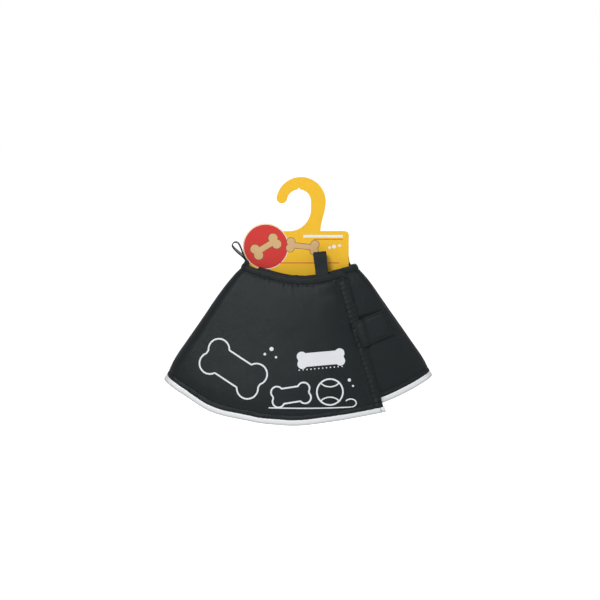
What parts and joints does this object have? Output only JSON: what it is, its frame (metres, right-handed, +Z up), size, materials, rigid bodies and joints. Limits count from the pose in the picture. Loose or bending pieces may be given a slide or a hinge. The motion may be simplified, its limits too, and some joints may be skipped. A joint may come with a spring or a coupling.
{
  "type": "elizabethan collar and hanger card",
  "caption": "Padded cloth pet cone, wrapped and closed with a tab, with tape loops at its neck edge, hanging flattened on a hooked hanger card.",
  "frame": {"origin": "top of the hook's inner curve, where a rail carries the hanger", "axes": "+Z up, front of the collar towards -Y, +X to the right seen from the front"},
  "size_m": [0.3701, 0.0959, 0.3343],
  "materials": {
    "charcoal_nylon": "woven nylon over thin foam, soft sheen",
    "binding_cloth": "the same nylon, folded double",
    "reflective_tape": "silver-white ribbed reflective tape",
    "tab_cloth": "padded nylon, stitched round its edge",
    "hook_tape": "matt black hook-and-loop tape",
    "loop_webbing": "woven tape",
    "yellow_board": "printed coated board"
  },
  "bodies": {
    "root": {"padded_panel": "charcoal_nylon", "neck_binding": "binding_cloth", "hem_binding": "reflective_tape", "closure_tab": "tab_cloth", "closure_patch": "hook_tape", "neck_loop_front": "loop_webbing", "neck_loop_side": "loop_webbing", "neck_loop_back": "loop_webbing", "hanger_card": "yellow_board"}
  },
  "joints": []
}
